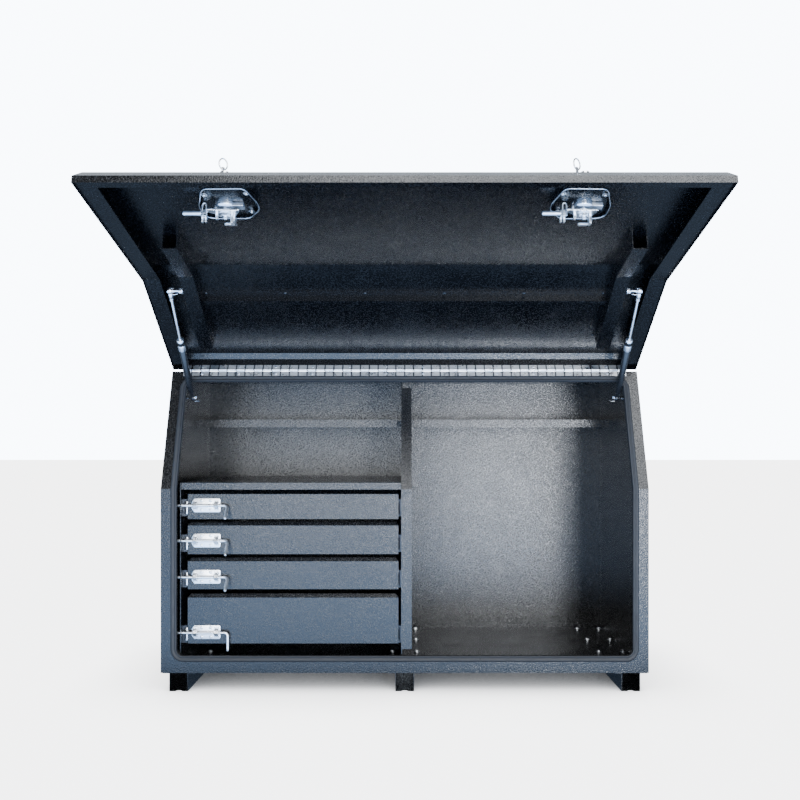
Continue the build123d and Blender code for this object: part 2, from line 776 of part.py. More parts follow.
grip_length = 50.0
grip_x = -471.0
bolt_tip_x = -611.0
bolt_radius = 4.0
bolt_depth = 19.0
for number, (base, height, slide_z, bolt_z, grip_angle) in enumerate(
    zip(drawer_bottoms, drawer_heights, slide_heights, bolt_heights, bolt_grip_angles), 1
):
    y_front = depth_y(drawer_front)
    y_back = depth_y(drawer_back)
    z_low = floor_z + base
    z_high = z_low + height
    with BuildPart() as drawer:
        slab(
            drawer_left, drawer_right,
            [
                (y_front, z_low), (y_front, z_high), (y_front + 7, z_high + 10),
                (y_front + 9, z_high + 9), (y_front + sheet, z_high - 1), (y_front + sheet, z_low),
            ],
        )
        with BuildSketch(Plane.XZ.offset(-(y_front + 20))):
            for x, sign in ((drawer_left, 1), (drawer_right, -1)):
                with BuildLine():
                    Polyline((x, z_high + 12), (x + sign * 10, z_high + 12), (x, z_high + 1), close=True)
                make_face()
        extrude(amount=40, mode=Mode.SUBTRACT)
        box_x = (drawer_box_left, drawer_box_right)
        block(box_x, (y_front + sheet, y_back), (z_low + 1, z_low + 1 + sheet))
        block(box_x, (y_back - sheet, y_back), (z_low + 1, z_high - 6))
        block((box_x[0], box_x[0] + sheet), (y_front + sheet, y_back), (z_low + 1, z_high - 6))
        block((box_x[1] - sheet, box_x[1]), (y_front + sheet, y_back), (z_low + 1, z_high - 6))
    save(drawer.part, f"drawer_{number}")

    with BuildPart() as drawer_hardware:
        for x_wall, side in slide_sides:
            slide_member(x_wall, side, slide_inner_height, slide_z, (11.2, 12.7), (5, 11.2), slide_length)
        block((-574, -496.5), (y_front - 2, y_front), (floor_z + bolt_z - 18.7, floor_z + bolt_z + 18.7))
        for x_guide in (-568.0, -511.0):
            block(
                (x_guide, x_guide + 9),
                (depth_y(bolt_depth) - 7, y_front - 2),
                (floor_z + bolt_z - 8, floor_z + bolt_z + 8),
            )
        axis_point = (depth_y(bolt_depth), floor_z + bolt_z)
        pin_x(-580, -490, axis_point, bolt_radius + fit_gap, mode=Mode.SUBTRACT)
    save(drawer_hardware.part, f"drawer_{number}_hardware")

    with BuildPart() as slide_middle:
        for x_wall, side in slide_sides:
            slide_member(
                x_wall, side, slide_middle_height, slide_z, (2.3, 3.8), (2.3, 11), slide_length - 30
            )
    save(slide_middle.part, f"drawer_{number}_slide_middles")

    with BuildPart() as drawer_bolt:
        pin_x(bolt_tip_x, grip_x, axis_point, bolt_radius)
        swing = math.radians(grip_angle)
        grip_plane = Plane(
            origin=(grip_x - bolt_radius, *axis_point),
            x_dir=(1, 0, 0), z_dir=(0, -math.sin(swing), -math.cos(swing)),
        )
        with BuildSketch(grip_plane):
            Circle(bolt_radius)
        extrude(amount=grip_length)
    save(drawer_bolt.part, f"drawer_{number}_bolt")
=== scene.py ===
"""Looks of the top-hinged steel tool box: materials, seals, struts, latches, bolts and keys.

Metres, same frame as the CAD: +X right seen from the front, front towards -Y, +Z up.
Door pieces are drawn as if the door were shut, then carried to the open door like the CAD's.
"""

import json
import math

import bmesh
import bpy
from mathutils import Matrix, Vector


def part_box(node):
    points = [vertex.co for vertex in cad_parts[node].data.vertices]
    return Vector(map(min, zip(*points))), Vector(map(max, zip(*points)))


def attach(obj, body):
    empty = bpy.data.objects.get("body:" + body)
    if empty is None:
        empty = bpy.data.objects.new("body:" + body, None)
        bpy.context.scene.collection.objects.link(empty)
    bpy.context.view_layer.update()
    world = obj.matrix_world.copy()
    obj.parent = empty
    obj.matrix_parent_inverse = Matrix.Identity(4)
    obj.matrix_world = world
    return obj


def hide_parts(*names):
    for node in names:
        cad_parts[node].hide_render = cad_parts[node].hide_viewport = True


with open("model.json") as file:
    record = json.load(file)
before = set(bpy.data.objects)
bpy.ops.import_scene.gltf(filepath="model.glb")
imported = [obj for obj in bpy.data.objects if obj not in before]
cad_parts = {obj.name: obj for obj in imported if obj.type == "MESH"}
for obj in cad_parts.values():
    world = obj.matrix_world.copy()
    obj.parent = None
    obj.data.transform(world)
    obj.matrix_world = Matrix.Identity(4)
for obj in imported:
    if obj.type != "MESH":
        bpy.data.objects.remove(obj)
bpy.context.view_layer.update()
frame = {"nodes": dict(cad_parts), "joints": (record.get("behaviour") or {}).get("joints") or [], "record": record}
nodes = frame["nodes"]
joints = {joint["name"]: joint for joint in frame["joints"]}

MM = 0.001

# ---- places taken from the frame ----------------------------------------------------------
body_low, body_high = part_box("left_end_panel")
foot_top = body_low[2]
front_y = -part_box("back_panel")[1][1]
half_width = -body_low[0]


# ---- materials ----------------------------------------------------------------------------
def new_material(name, color, roughness, metallic=0.0, specular=0.5):
    """A Principled material and its node tree."""
    made = bpy.data.materials.new(name)
    made.use_nodes = True
    shader = made.node_tree.nodes["Principled BSDF"]
    shader.inputs["Base Color"].default_value = (*color, 1)
    shader.inputs["Roughness"].default_value = roughness
    shader.inputs["Metallic"].default_value = metallic
    shader.inputs["Specular IOR Level"].default_value = specular
    return made, made.node_tree, shader


def add(tree, kind, **values):
    """A node with some of its inputs or properties set."""
    node = tree.nodes.new(kind)
    for key, value in values.items():
        if key in node.inputs:
            node.inputs[key].default_value = value
        else:
            setattr(node, key, value)
    return node


def object_space(tree, scale=(1, 1, 1)):
    """Coordinates in metres that stay with the piece."""
    source = add(tree, "ShaderNodeTexCoord")
    mapping = add(tree, "ShaderNodeMapping")
    mapping.inputs["Scale"].default_value = scale
    tree.links.new(source.outputs["Object"], mapping.inputs["Vector"])
    return mapping.outputs["Vector"]


def ramp(tree, source, low, high, start=0.0, end=1.0):
    """Remaps a value linearly."""
    node = add(tree, "ShaderNodeMapRange")
    node.inputs["From Min"].default_value = start
    node.inputs["From Max"].default_value = end
    node.inputs["To Min"].default_value = low
    node.inputs["To Max"].default_value = high
    tree.links.new(source, node.inputs["Value"])
    return node.outputs["Result"]


def blend_colors(tree, factor, low, high):
    """Mixes two colours by a factor."""
    node = add(tree, "ShaderNodeMix", data_type="RGBA")
    node.inputs["A"].default_value = (*low, 1)
    node.inputs["B"].default_value = (*high, 1)
    tree.links.new(factor, node.inputs["Factor"])
    return node.outputs["Result"]


def noise(tree, space, scale, detail=3.0, roughness=0.5):
    """Noise over a space."""
    node = add(tree, "ShaderNodeTexNoise")
    node.inputs["Scale"].default_value = scale
    node.inputs["Detail"].default_value = detail
    node.inputs["Roughness"].default_value = roughness
    tree.links.new(space, node.inputs["Vector"])
    return node.outputs["Fac"]


def bump(tree, shader, heights):
    """Stacks (height, strength, distance) bumps onto the shader's normal."""
    normal = None
    for height, strength, distance in heights:
        node = add(tree, "ShaderNodeBump")
        node.inputs["Strength"].default_value = strength
        node.inputs["Distance"].default_value = distance
        tree.links.new(height, node.inputs["Height"])
        if normal:
            tree.links.new(normal, node.inputs["Normal"])
        normal = node.outputs["Normal"]
    tree.links.new(normal, shader.inputs["Normal"])


def powder_coat():
    """Black powder coat with the coarse leathery texture of a tool box."""
    made, tree, shader = new_material("powder_coat", (0.001, 0.001, 0.0012), 0.2)
    space = object_space(tree)
    leather = add(tree, "ShaderNodeTexVoronoi", feature="SMOOTH_F1")
    leather.inputs["Scale"].default_value = 400
    leather.inputs["Smoothness"].default_value = 0.6
    tree.links.new(space, leather.inputs["Vector"])
    pebble = noise(tree, space, 280, 1)
    grain = noise(tree, space, 900, 2)
    broad = noise(tree, space, 14, 4)
    speck = noise(tree, space, 310, 1)
    uneven = add(tree, "ShaderNodeMath", operation="ADD")
    tree.links.new(ramp(tree, speck, 0, 0.13, 0.42, 0.62), uneven.inputs[0])
    tree.links.new(ramp(tree, broad, 0.14, 0.2, 0.3, 0.7), uneven.inputs[1])
    tree.links.new(uneven.outputs[0], shader.inputs["Roughness"])
    grains = ramp(tree, speck, 0, 1, 0.5, 0.66)
    tint = blend_colors(tree, grains, (0.0005, 0.0005, 0.0007), (0.005, 0.0054, 0.0065))
    tree.links.new(tint, shader.inputs["Base Color"])
    bump(tree, shader, [
        (pebble, 0.3, 0.0008),
        (leather.outputs["Distance"], 0.4, 0.0008),
        (grain, 0.2, 0.0002),
    ])
    return made


def plated(name, color, roughness, scale, tint):
    """Bright plated or brushed steel with faint cloudy variation and fine scratches."""
    made, tree, shader = new_material(name, color, roughness, metallic=1.0)
    space = object_space(tree)
    cloud = noise(tree, space, scale, 5)
    scratch_space = object_space(tree, (1, 12, 12))
    scratch = noise(tree, scratch_space, 240, 4)
    dulled = ramp(tree, cloud, roughness * 0.75, roughness * 1.35, 0.3, 0.7)
    tree.links.new(dulled, shader.inputs["Roughness"])
    tree.links.new(blend_colors(tree, cloud, tint, color), shader.inputs["Base Color"])
    bump(tree, shader, [(scratch, 0.12, 0.0001)])
    return made


knuckle_pitch = 0.0248
zinc = ((0.93, 0.94, 0.95), 0.3, 60, (0.82, 0.83, 0.84))


def hinge_zinc():
    """Plated steel with painted shade in the gaps between the knuckles of a piano hinge."""
    made = plated("hinge_zinc", *zinc)
    tree = made.node_tree
    shader = tree.nodes["Principled BSDF"]
    split = add(tree, "ShaderNodeSeparateXYZ")
    tree.links.new(add(tree, "ShaderNodeTexCoord").outputs["Object"], split.inputs["Vector"])
    cell = add(tree, "ShaderNodeMath", operation="PINGPONG")
    tree.links.new(split.outputs["X"], cell.inputs[0])
    cell.inputs[1].default_value = knuckle_pitch / 2
    # Painted shade: the plated steel is darkened in bands where the knuckles meet.
    knuckle_gap_shade = ramp(tree, cell.outputs[0], 1, 0, 0.0008, 0.0026)
    plain = shader.inputs["Base Color"].links[0].from_socket
    shade = add(tree, "ShaderNodeMix", data_type="RGBA", blend_type="MULTIPLY")
    shade.inputs["B"].default_value = (0.04, 0.04, 0.05, 1)
    tree.links.new(knuckle_gap_shade, shade.inputs["Factor"])
    tree.links.new(plain, shade.inputs["A"])
    tree.links.new(shade.outputs["Result"], shader.inputs["Base Color"])
    return made


def rubber():
    """Matt black extruded rubber."""
    made, tree, shader = new_material("rubber", (0.014, 0.014, 0.015), 0.6, specular=0.35)
    space = object_space(tree)
    fine = noise(tree, space, 1400, 3)
    dust = noise(tree, space, 30, 4)
    tint = blend_colors(tree, dust, (0.011, 0.011, 0.012), (0.024, 0.024, 0.025))
    tree.links.new(tint, shader.inputs["Base Color"])
    tree.links.new(ramp(tree, dust, 0.5, 0.7, 0.3, 0.7), shader.inputs["Roughness"])
    bump(tree, shader, [(fine, 0.2, 0.0001)])
    return made


def satin_black():
    """Smooth satin black paint of the strut tubes."""
    made, tree, shader = new_material("strut_black", (0.01, 0.01, 0.011), 0.25)
    space = object_space(tree)
    fine = noise(tree, space, 500, 3)
    tree.links.new(ramp(tree, fine, 0.2, 0.32, 0.3, 0.7), shader.inputs["Roughness"])
    bump(tree, shader, [(fine, 0.05, 0.0001)])
    return made


looks = {
    "powder_coat": powder_coat(),
    "zinc_plate": plated("zinc_plate", *zinc),
    "chrome": plated("chrome", (0.95, 0.95, 0.97), 0.2, 40, (0.86, 0.86, 0.88)),
    "satin_steel": plated("satin_steel", (0.72, 0.75, 0.8), 0.34, 50, (0.58, 0.6, 0.64)),
    "rubber": rubber(),
    "strut_black": satin_black(),
}

# Painted shade: the drawer slides get a darkened copy of the plated steel for the shadow they sit in.
shaded_slide_steel = plated("shaded_slide_steel", (0.1, 0.105, 0.12), 0.4, 60, (0.06, 0.065, 0.07))
hinge_steel = hinge_zinc()


def look_of(part):
    """Material of a CAD piece: its slot's, unless it is a drawer slide, which gets darkened steel as painted
    shade, or a leaf of the hinge, which gets painted shade between its knuckles.
    """
    if "slide" in part["node"]:
        return shaded_slide_steel
    if part["node"] in ("hinge_body_leaf", "hinge_door_leaf"):
        return hinge_steel
    return looks[part["material_slot"]]


for part in frame["record"]["subparts"]:
    cad_object = nodes[part["node"]]
    cad_object.data.materials.clear()
    cad_object.data.materials.append(look_of(part))


# ---- shape tools --------------------------------------------------------------------------
def place_at(origin, x_dir, z_dir):
    """Matrix of a local frame in millimetres, standing at a point in metres."""
    along = Vector(z_dir).normalized()
    across = Vector(x_dir)
    across = (across - along * across.dot(along)).normalized()
    turn = Matrix((across, along.cross(across), along)).transposed().to_4x4()
    return Matrix.Translation(Vector(origin)) @ turn @ Matrix.Scale(MM, 4)


def join_rings(mesh, rings, closed_path=False):
    """Skins a list of equal rings of vertices, capped at its ends or closed on itself."""
    later_rings = rings[1:] + rings[:1] if closed_path else rings[1:]
    for ring, following in zip(rings, later_rings):
        count = len(ring)
        for i in range(count):
            j = (i + 1) % count
            mesh.faces.new((ring[i], ring[j], following[j], following[i]))
    if not closed_path:
        mesh.faces.new(tuple(reversed(rings[0])))
        mesh.faces.new(tuple(rings[-1]))


def turned(mesh, place, profile, segments=28, hollow=False):
    """Turned solid about local Z from (radius, height) points, closed at its ends or hollow."""
    rings = []
    for radius, height in profile:
        ring = []
        for i in range(segments):
            angle = math.tau * i / segments
            spot = Vector((radius * math.cos(angle), radius * math.sin(angle), height))
            ring.append(mesh.verts.new(place @ spot))
        rings.append(ring)
    join_rings(mesh, rings, closed_path=hollow)


def frame_plate(mesh, place, outer, inner, low, high, edge=0.4, mean_radius=30):
    """Flat frame between two outlines of as many points each, its outer edges eased."""
    eased = 1 - edge / mean_radius
    rings = []
    for outline, height, scale in (
        (inner, low, 1), (outer, low, eased), (outer, low + edge, 1),
        (outer, high - edge, 1), (outer, high, eased), (inner, high, 1),
    ):
        rings.append([mesh.verts.new(place @ Vector((x * scale, y * scale, height))) for x, y in outline])
    join_rings(mesh, rings, closed_path=True)


def divided(outline, longest=4.0):
    """The same outline with points added along its long edges."""
    result = []
    for start, end in zip(outline, outline[1:] + outline[:1]):
        steps = max(1, math.ceil((Vector(end) - Vector(start)).length / longest))
        for k in range(steps):
            result.append(tuple(Vector(start).lerp(Vector(end), k / steps)))
    return result


def hole_in(outline, radius):
    """Round hole about the origin with one point for each point of an outline round it."""
    return [tuple(Vector(p).normalized() * radius) for p in outline]


def plate(mesh, place, outline, low, high, edge=0.5):
    """Extruded (x, y) outline between two heights with softened edges."""
    made = bmesh.new()
    base = [made.verts.new((x, y, low)) for x, y in outline]
    face = made.faces.new(base)
    raised = bmesh.ops.extrude_face_region(made, geom=[face])
    top = [item for item in raised["geom"] if isinstance(item, bmesh.types.BMVert)]
    bmesh.ops.translate(made, vec=(0, 0, high - low), verts=top)
    bmesh.ops.recalc_face_normals(made, faces=made.faces)
    sharp = [e for e in made.edges if e.calc_face_angle(0) > math.radians(35)]
    bmesh.ops.bevel(made, geom=sharp, offset=edge, segments=2, affect="EDGES", profile=0.5)
    made.transform(place)
    carrier = bpy.data.meshes.new("carrier")
    made.to_mesh(carrier)
    made.free()
    mesh.from_mesh(carrier)
    bpy.data.meshes.remove(carrier)


def tube(mesh, points, radius, segments=10, closed=False):
    """Round bar of a radius in metres along points in metres."""
    points = [Vector(p) for p in points]
    count = len(points)
    side = None
    rings = []
    for i, point in enumerate(points):
        before = points[i - 1] if i or closed else point
        after = points[(i + 1) % count] if i < count - 1 or closed else point
        along = (after - before).normalized()
        if side is None:
            side = along.orthogonal().normalized()
        side = (side - along * side.dot(along)).normalized()
        other = along.cross(side)
        ring = []
        for k in range(segments):
            angle = math.tau * k / segments
            ray = math.cos(angle) * side + math.sin(angle) * other
            ring.append(mesh.verts.new(point + radius * ray))
        rings.append(ring)
    join_rings(mesh, rings, closed_path=closed)


def rounded(width, height, radius, steps=5, center=(0.0, 0.0)):
    """Outline of a rectangle with round corners."""
    points = []
    for quarter, (sx, sy) in enumerate(((1, 1), (-1, 1), (-1, -1), (1, -1))):
        cx = center[0] + sx * (width / 2 - radius)
        cy = center[1] + sy * (height / 2 - radius)
        for i in range(steps + 1):
            angle = math.pi / 2 * (quarter + i / steps)
            points.append((cx + radius * math.cos(angle), cy + radius * math.sin(angle)))
    return points


def hexagon(radius):
    """Outline of a hexagon."""
    angles = [math.tau * i / 6 for i in range(6)]
    return [(radius * math.cos(angle), radius * math.sin(angle)) for angle in angles]


def finish_piece(name, mesh, body, slot, replaced=(), carry=None, sharp_deg=32):
    """Turns a bmesh into a finished piece riding on its body."""
    if carry is not None:
        mesh.transform(carry)
    bmesh.ops.recalc_face_normals(mesh, faces=mesh.faces)
    data = bpy.data.meshes.new(name)
    mesh.to_mesh(data)
    mesh.free()
    data.shade_smooth()
    data.set_sharp_from_angle(angle=math.radians(sharp_deg))
    data.materials.append(looks[slot])
    made = bpy.data.objects.new(name, data)
    bpy.context.scene.collection.objects.link(made)
    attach(made, body)
    if replaced:
        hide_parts(*replaced)
    return made


# ---- the cranked front and the door -------------------------------------------------------
bend_z = 0.54
setback = 0.123
lean = math.atan2(setback, body_high[2] - bend_z)
slant_length = math.hypot(setback, body_high[2] - bend_z)
hinge_y, hinge_z = joints["door_hinge"]["pos_m"][1:]
open_angle = math.radians(-joints["door_hinge"]["range_deg"][0])
door_open = (
    Matrix.Translation((0, hinge_y, hinge_z))
    @ Matrix.Rotation(open_angle, 4, (-1, 0, 0))
    @ Matrix.Translation((0, -hinge_y, -hinge_z))
)


def upright_point(x, n, z):
    """Point n in front of the upright front, z above the box's floor, in millimetres."""
    return Vector((x * MM, front_y - n * MM, foot_top + z * MM))


def bend_point(x, n):
    """Point where the two fronts meet, moved out by n."""
    return Vector((x * MM, front_y - n * MM, bend_z + n * MM * math.tan(lean / 2)))


def slope_point(x, n, v):
    """Point n in front of the sloping front, v up the slope from the bend."""
    return Vector((
        x * MM,
        front_y + (v * math.sin(lean) - n * math.cos(lean)) * MM,
        bend_z + (v * math.cos(lean) + n * math.sin(lean)) * MM,
    ))


# ---- rubber seal --------------------------------------------------------------------------
stile_width = 0.043
header_depth = 31
lip_x = (half_width - stile_width) / MM + 1
lip_bottom = 45.0
lip_top = slant_length / MM - header_depth


def seal_profile():
    """D-bulb with its grip on the lip: (outwards from the lip, in front of the frame)."""
    points = [(-2.4, 0.4), (-2.4, 9.4), (-1.6, 11.0), (0.6, 11.3), (2.2, 10.6), (3.6, 9.0)]
    for i in range(11):
        angle = math.radians(140 - 25 * i)
        points.append((8.9 + 5.3 * math.cos(angle), 5.7 + 5.2 * math.sin(angle)))
    points.append((2.6, 1.4))
    return points


def seal_corner(start, radius, is_top, steps=9):
    """Stations round a corner, from an angle through a quarter turn."""
    side = 1 if start < math.pi / 2 else -1
    stations = []
    for i in range(steps + 1):
        angle = start + math.pi / 2 * i / steps

        def station(p, n, angle=angle):
            x = side * (lip_x - radius) + (radius + p) * math.cos(angle)
            rise = (radius + p) * math.sin(angle)
            if is_top:
                return slope_point(x, n, lip_top - radius + rise)
            return upright_point(x, n, lip_bottom + radius + rise)

        stations.append(station)
    return stations


def door_seal():
    """Seal round the opening with a butt joint in its lower run."""
    joint_x = 200.0
    bottom_radius = 20.0
    top_radius = 24.0
    stations = [lambda p, n: upright_point(joint_x + 0.5, n, lip_bottom - p)]
    stations += seal_corner(-math.pi / 2, bottom_radius, False)
    stations.append(lambda p, n: bend_point(lip_x + p, n))
    stations += seal_corner(0.0, top_radius, True)
    stations += seal_corner(math.pi / 2, top_radius, True)
    stations.append(lambda p, n: bend_point(-lip_x - p, n))
    stations += seal_corner(math.pi, bottom_radius, False)
    stations.append(lambda p, n: upright_point(joint_x - 0.5, n, lip_bottom - p))
    mesh = bmesh.new()
    profile = seal_profile()
    rings = [[mesh.verts.new(station(p, n)) for p, n in profile] for station in stations]
    join_rings(mesh, rings)
    finish_piece("door_seal_bulb", mesh, "box", "rubber", ["door_seal"], sharp_deg=50)


door_seal()


# ---- gas struts ---------------------------------------------------------------------------
strut_x = 595.0
channel_x = 561.0
strut_low = Vector((0, *joints["left_strut_swing"]["pos_m"][1:]))
strut_dir = Vector(joints["left_strut_stroke"]["axis"])
strut_run = 358.0


def strut_frame(side, along):
    """Frame on a strut's axis at a distance in millimetres from its lower pin."""
    spot = strut_low + strut_dir * along * MM
    return place_at((side * strut_x * MM, spot.y, spot.z), (1, 0, 0), strut_dir)


def pin_frame(side, along, x):
    """Frame on the pin through a strut's end, local Z towards the side wall."""
    spot = strut_low + strut_dir * along * MM
    return place_at((side * x * MM, spot.y, spot.z), strut_dir, (side, 0, 0))


def ball_socket(mesh, side, along):
    """Socket of a ball joint: a short drum with soft rims."""
    rim = [
        (0.5, -6.5), (5.4, -6.5), (7.4, -5.2), (8.4, -2.5),
        (8.4, 2.5), (7.4, 5.2), (5.4, 6.5), (0.5, 6.5),
    ]
    turned(mesh, pin_frame(side, along, strut_x), rim)


def strut_clip(name, side, along, body):
    """Wire safety clip hooked round a socket."""
    middle = strut_low + strut_dir * along * MM
    across = Vector((1, 0, 0))
    outward = strut_dir.cross(across)
    turns = ((-20, 7.6), (20, 7.9), (60, 8.1), (100, 8.1), (140, 7.9), (180, 7.6), (215, 7.2))
    points = []
    for turn_deg, shift in turns:
        angle = math.radians(turn_deg)
        ray = math.cos(angle) * strut_dir + math.sin(angle) * outward
        points.append(middle + across * side * (strut_x - shift) * MM + ray * 9.4 * MM)
    end = points[-1]
    points.append(end - across * side * 6 * MM)
    points.append(end - across * side * 13 * MM + strut_dir * 2 * MM)
    mesh = bmesh.new()
    tube(mesh, points, 0.9 * MM, 8)
    finish_piece(name, mesh, body, "chrome")


def gas_strut(side, word):
    """Tube, sleeve, collar, rod, sockets and safety clips of one strut."""
    tube_end = 203.0
    mesh = bmesh.new()
    turned(mesh, strut_frame(side, 0), [
        (0.5, 4), (5.4, 4), (5.4, 18), (6.2, 20), (8.2, 22), (9, 25),
        (9, tube_end - 16), (8.4, tube_end - 15), (8.4, tube_end - 13.5), (9, tube_end - 12),
        (9, tube_end - 4), (8.2, tube_end - 1.5), (6, tube_end),
        (4.2, tube_end), (4.2, tube_end - 6), (7.4, tube_end - 7), (7.4, 40), (0.5, 39),
    ], 36, hollow=True)
    ball_socket(mesh, side, 0)
    finish_piece(f"{word}_gas_tube", mesh, f"{word}_tube", "strut_black", [f"{word}_strut_tube"])

    mesh = bmesh.new()
    turned(mesh, strut_frame(side, 0), [
        (8.6, 168), (9.7, 169), (9.9, 171), (9.9, 183), (9.5, 185), (8.6, 186),
    ], 36, hollow=True)
    finish_piece(f"{word}_tube_sleeve", mesh, f"{word}_tube", "satin_steel")
    mesh = bmesh.new()
    turned(mesh, strut_frame(side, 0), [
        (8.6, 196), (9.8, 197), (9.8, 202), (8.8, 204.2), (5.2, 205), (4.2, 205), (4.2, 203.2), (8.6, 203.2),
    ], 36, hollow=True)
    finish_piece(f"{word}_tube_collar", mesh, f"{word}_tube", "chrome")

    mesh = bmesh.new()
    turned(mesh, strut_frame(side, 0), [
        (0.5, strut_run - 175), (3.95, strut_run - 175), (3.95, strut_run - 29), (6.4, strut_run - 28.2),
        (6.4, strut_run - 24), (5.2, strut_run - 23.4), (5.6, strut_run - 21), (6.2, strut_run - 19),
        (6.2, strut_run - 9), (5, strut_run - 5), (0.5, strut_run - 5),
    ], 28)
    ball_socket(mesh, side, strut_run)
    finish_piece(f"{word}_gas_rod", mesh, f"{word}_rod", "chrome", [f"{word}_strut_rod"])
    strut_clip(f"{word}_upper_clip", side, strut_run, f"{word}_rod")
    strut_clip(f"{word}_lower_clip", side, 0, f"{word}_tube")


def wall_studs():
    """Ball studs of both struts on the end walls."""
    wall_x = half_width / MM - 2
    reach = wall_x - strut_x
    mesh = bmesh.new()
    for side in (-1, 1):
        frame_here = pin_frame(side, 0, strut_x)
        turned(mesh, frame_here, [
            (0.5, -7), (4.2, -7), (5.2, -4), (5.2, 4), (3.6, 8), (3.6, 12), (5.4, 13), (5.4, reach - 12),
            (6.4, reach - 11), (6.4, reach - 4), (13, reach - 3), (14, reach - 2), (14, reach - 0.1),
            (0.5, reach - 0.1),
        ])
        plate(mesh, frame_here, hexagon(8.4), reach - 10, reach - 4, 0.6)
    finish_piece("wall_ball_studs", mesh, "box", "chrome", ["strut_body_studs"])


def channel_studs():
    """Ball studs of both struts on the door's channels."""
    reach = strut_x - channel_x
    mesh = bmesh.new()
    for side in (-1, 1):
        frame_here = pin_frame(side, strut_run, strut_x)
        turned(mesh, frame_here, [
            (0.5, -reach + 0.1), (7.4, -reach + 0.1), (8.6, 1.2 - reach), (8.6, 3 - reach),
            (7.4, 4 - reach), (4.6, 4.4 - reach), (4, 12 - reach), (3.4, 14 - reach), (3.4, -12),
            (5.2, -9.5), (6, -7.2), (0.5, -6.8),
        ])
        plate(mesh, frame_here, hexagon(7.6), 5 - reach, 10.5 - reach, 0.6)
    finish_piece("channel_ball_studs", mesh, "door", "chrome", ["strut_door_studs"])


gas_strut(-1, "left")
gas_strut(1, "right")
wall_studs()
channel_studs()


# ---- door latches -------------------------------------------------------------------------
latch_x = 382.0
latch_z = 171.0
dish_floor = 50.0
dish_mouth = 58.1
spindle_hole = 7.3
latch_outline = [
    (-40, -68), (-31, -80), (47, -82), (56, -72), (72, -14),
    (71, 13), (43, 54), (-40, 54), (-57, 40), (-58, -4),
]
screw_places = ((-37, -47), (52.5, -53), (50.5, 28))


def latch_frame(side, x=0.0, z=0.0):
    """Frame of the shut door, x and z from a latch's axis: X right, Y up, Z outwards."""
    return place_at(upright_point(side * latch_x + x, 0, latch_z + z), (1, 0, 0), (0, -1, 0))


def grown(outline, amount):
    """Outline moved outwards by an amount along its edges."""
    points = [Vector(p) for p in outline]
    moved = []
    area = sum(a.x * b.y - b.x * a.y for a, b in zip(points, points[1:] + points[:1]))
    sign = 1 if area > 0 else -1
    for i, point in enumerate(points):
        back = (point - points[i - 1]).normalized()
        ahead = (points[(i + 1) % len(points)] - point).normalized()
        normals = [Vector((edge.y, -edge.x)) * sign for edge in (back, ahead)]
        middle = (normals[0] + normals[1]).normalized()
        moved.append(tuple(point + middle * amount / middle.dot(normals[0])))
    return moved


def softened(outline, radius, steps=4):
    """Outline with its corners rounded."""
    points = [Vector(p) for p in outline]
    result = []
    for i, point in enumerate(points):
        before = points[i - 1] - point
        after = points[(i + 1) % len(points)] - point
        cut = min(radius, 0.45 * before.length, 0.45 * after.length)
        start = point + before.normalized() * cut
        end = point + after.normalized() * cut
        for k in range(steps + 1):
            t = k / steps
            result.append(tuple(start * (1 - t) ** 2 + point * 2 * t * (1 - t) + end * t ** 2))
    return result


def latch_dish(side, word):
    """Pressed flange outside the door, black dish and the boss behind it."""
    shape = [(-side * x, y) for x, y in latch_outline]
    here = latch_frame(side)
    mouth = softened(grown(shape, -10), 7)
    floor_edge = softened(grown(shape, -8.3), 7)
    drilled_edge = divided(floor_edge)
    hole = hole_in(drilled_edge, spindle_hole)
    mesh = bmesh.new()
    frame_plate(mesh, here, softened(grown(shape, 6), 9), mouth, dish_mouth, dish_mouth + 2.9, 0.8)
    frame_plate(mesh, here, floor_edge, mouth, dish_floor, dish_mouth)
    frame_plate(mesh, here, drilled_edge, hole, dish_floor, dish_floor + 2)
    finish_piece(f"{word}_latch_dish", mesh, "door", "satin_steel", [f"{word}_latch_housing"], door_open)

    mesh = bmesh.new()
    frame_plate(mesh, here, drilled_edge, hole, dish_floor - 1.2, dish_floor - 0.05)
    finish_piece(f"{word}_dish_back", mesh, "door", "powder_coat", (), door_open)

    mesh = bmesh.new()
    edge_line = [here @ Vector((x, y, 43.6)) for x, y in softened(grown(shape, -1.2), 9)]
    tube(mesh, edge_line, 1.3 * MM, 8, closed=True)
    finish_piece(f"{word}_clamp_edge", mesh, "door", "satin_steel", (), door_open)

    mesh = bmesh.new()
    turned(mesh, here, [
        (spindle_hole, 48.7), (21, 48.7), (21, 45), (20.4, 42), (18.6, 39.6), (15, 38), (9, 37),
        (spindle_hole, 37),
    ], 40, hollow=True)
    plate(mesh, here, rounded(26, 19, 2.5, center=(27, -4)), 39.5, 48.7, 1.2)
    plate(mesh, here, rounded(8, 12, 2, center=(-21, 6)), 41, 48.7, 1.0)
    finish_piece(f"{word}_latch_boss", mesh, "door", "satin_steel", (), door_open)


def cam_plate_outline():
    """Half round plate with a straight edge towards the door's free edge."""
    points = [(30, -13), (31, -7)]
    for i in range(13):
        angle = math.radians(15 + 150 * i / 12)
        points.append((25 * math.cos(angle), 22 * math.sin(angle)))
    return points + [(-36, -3), (-40, -9), (-40, -15)]


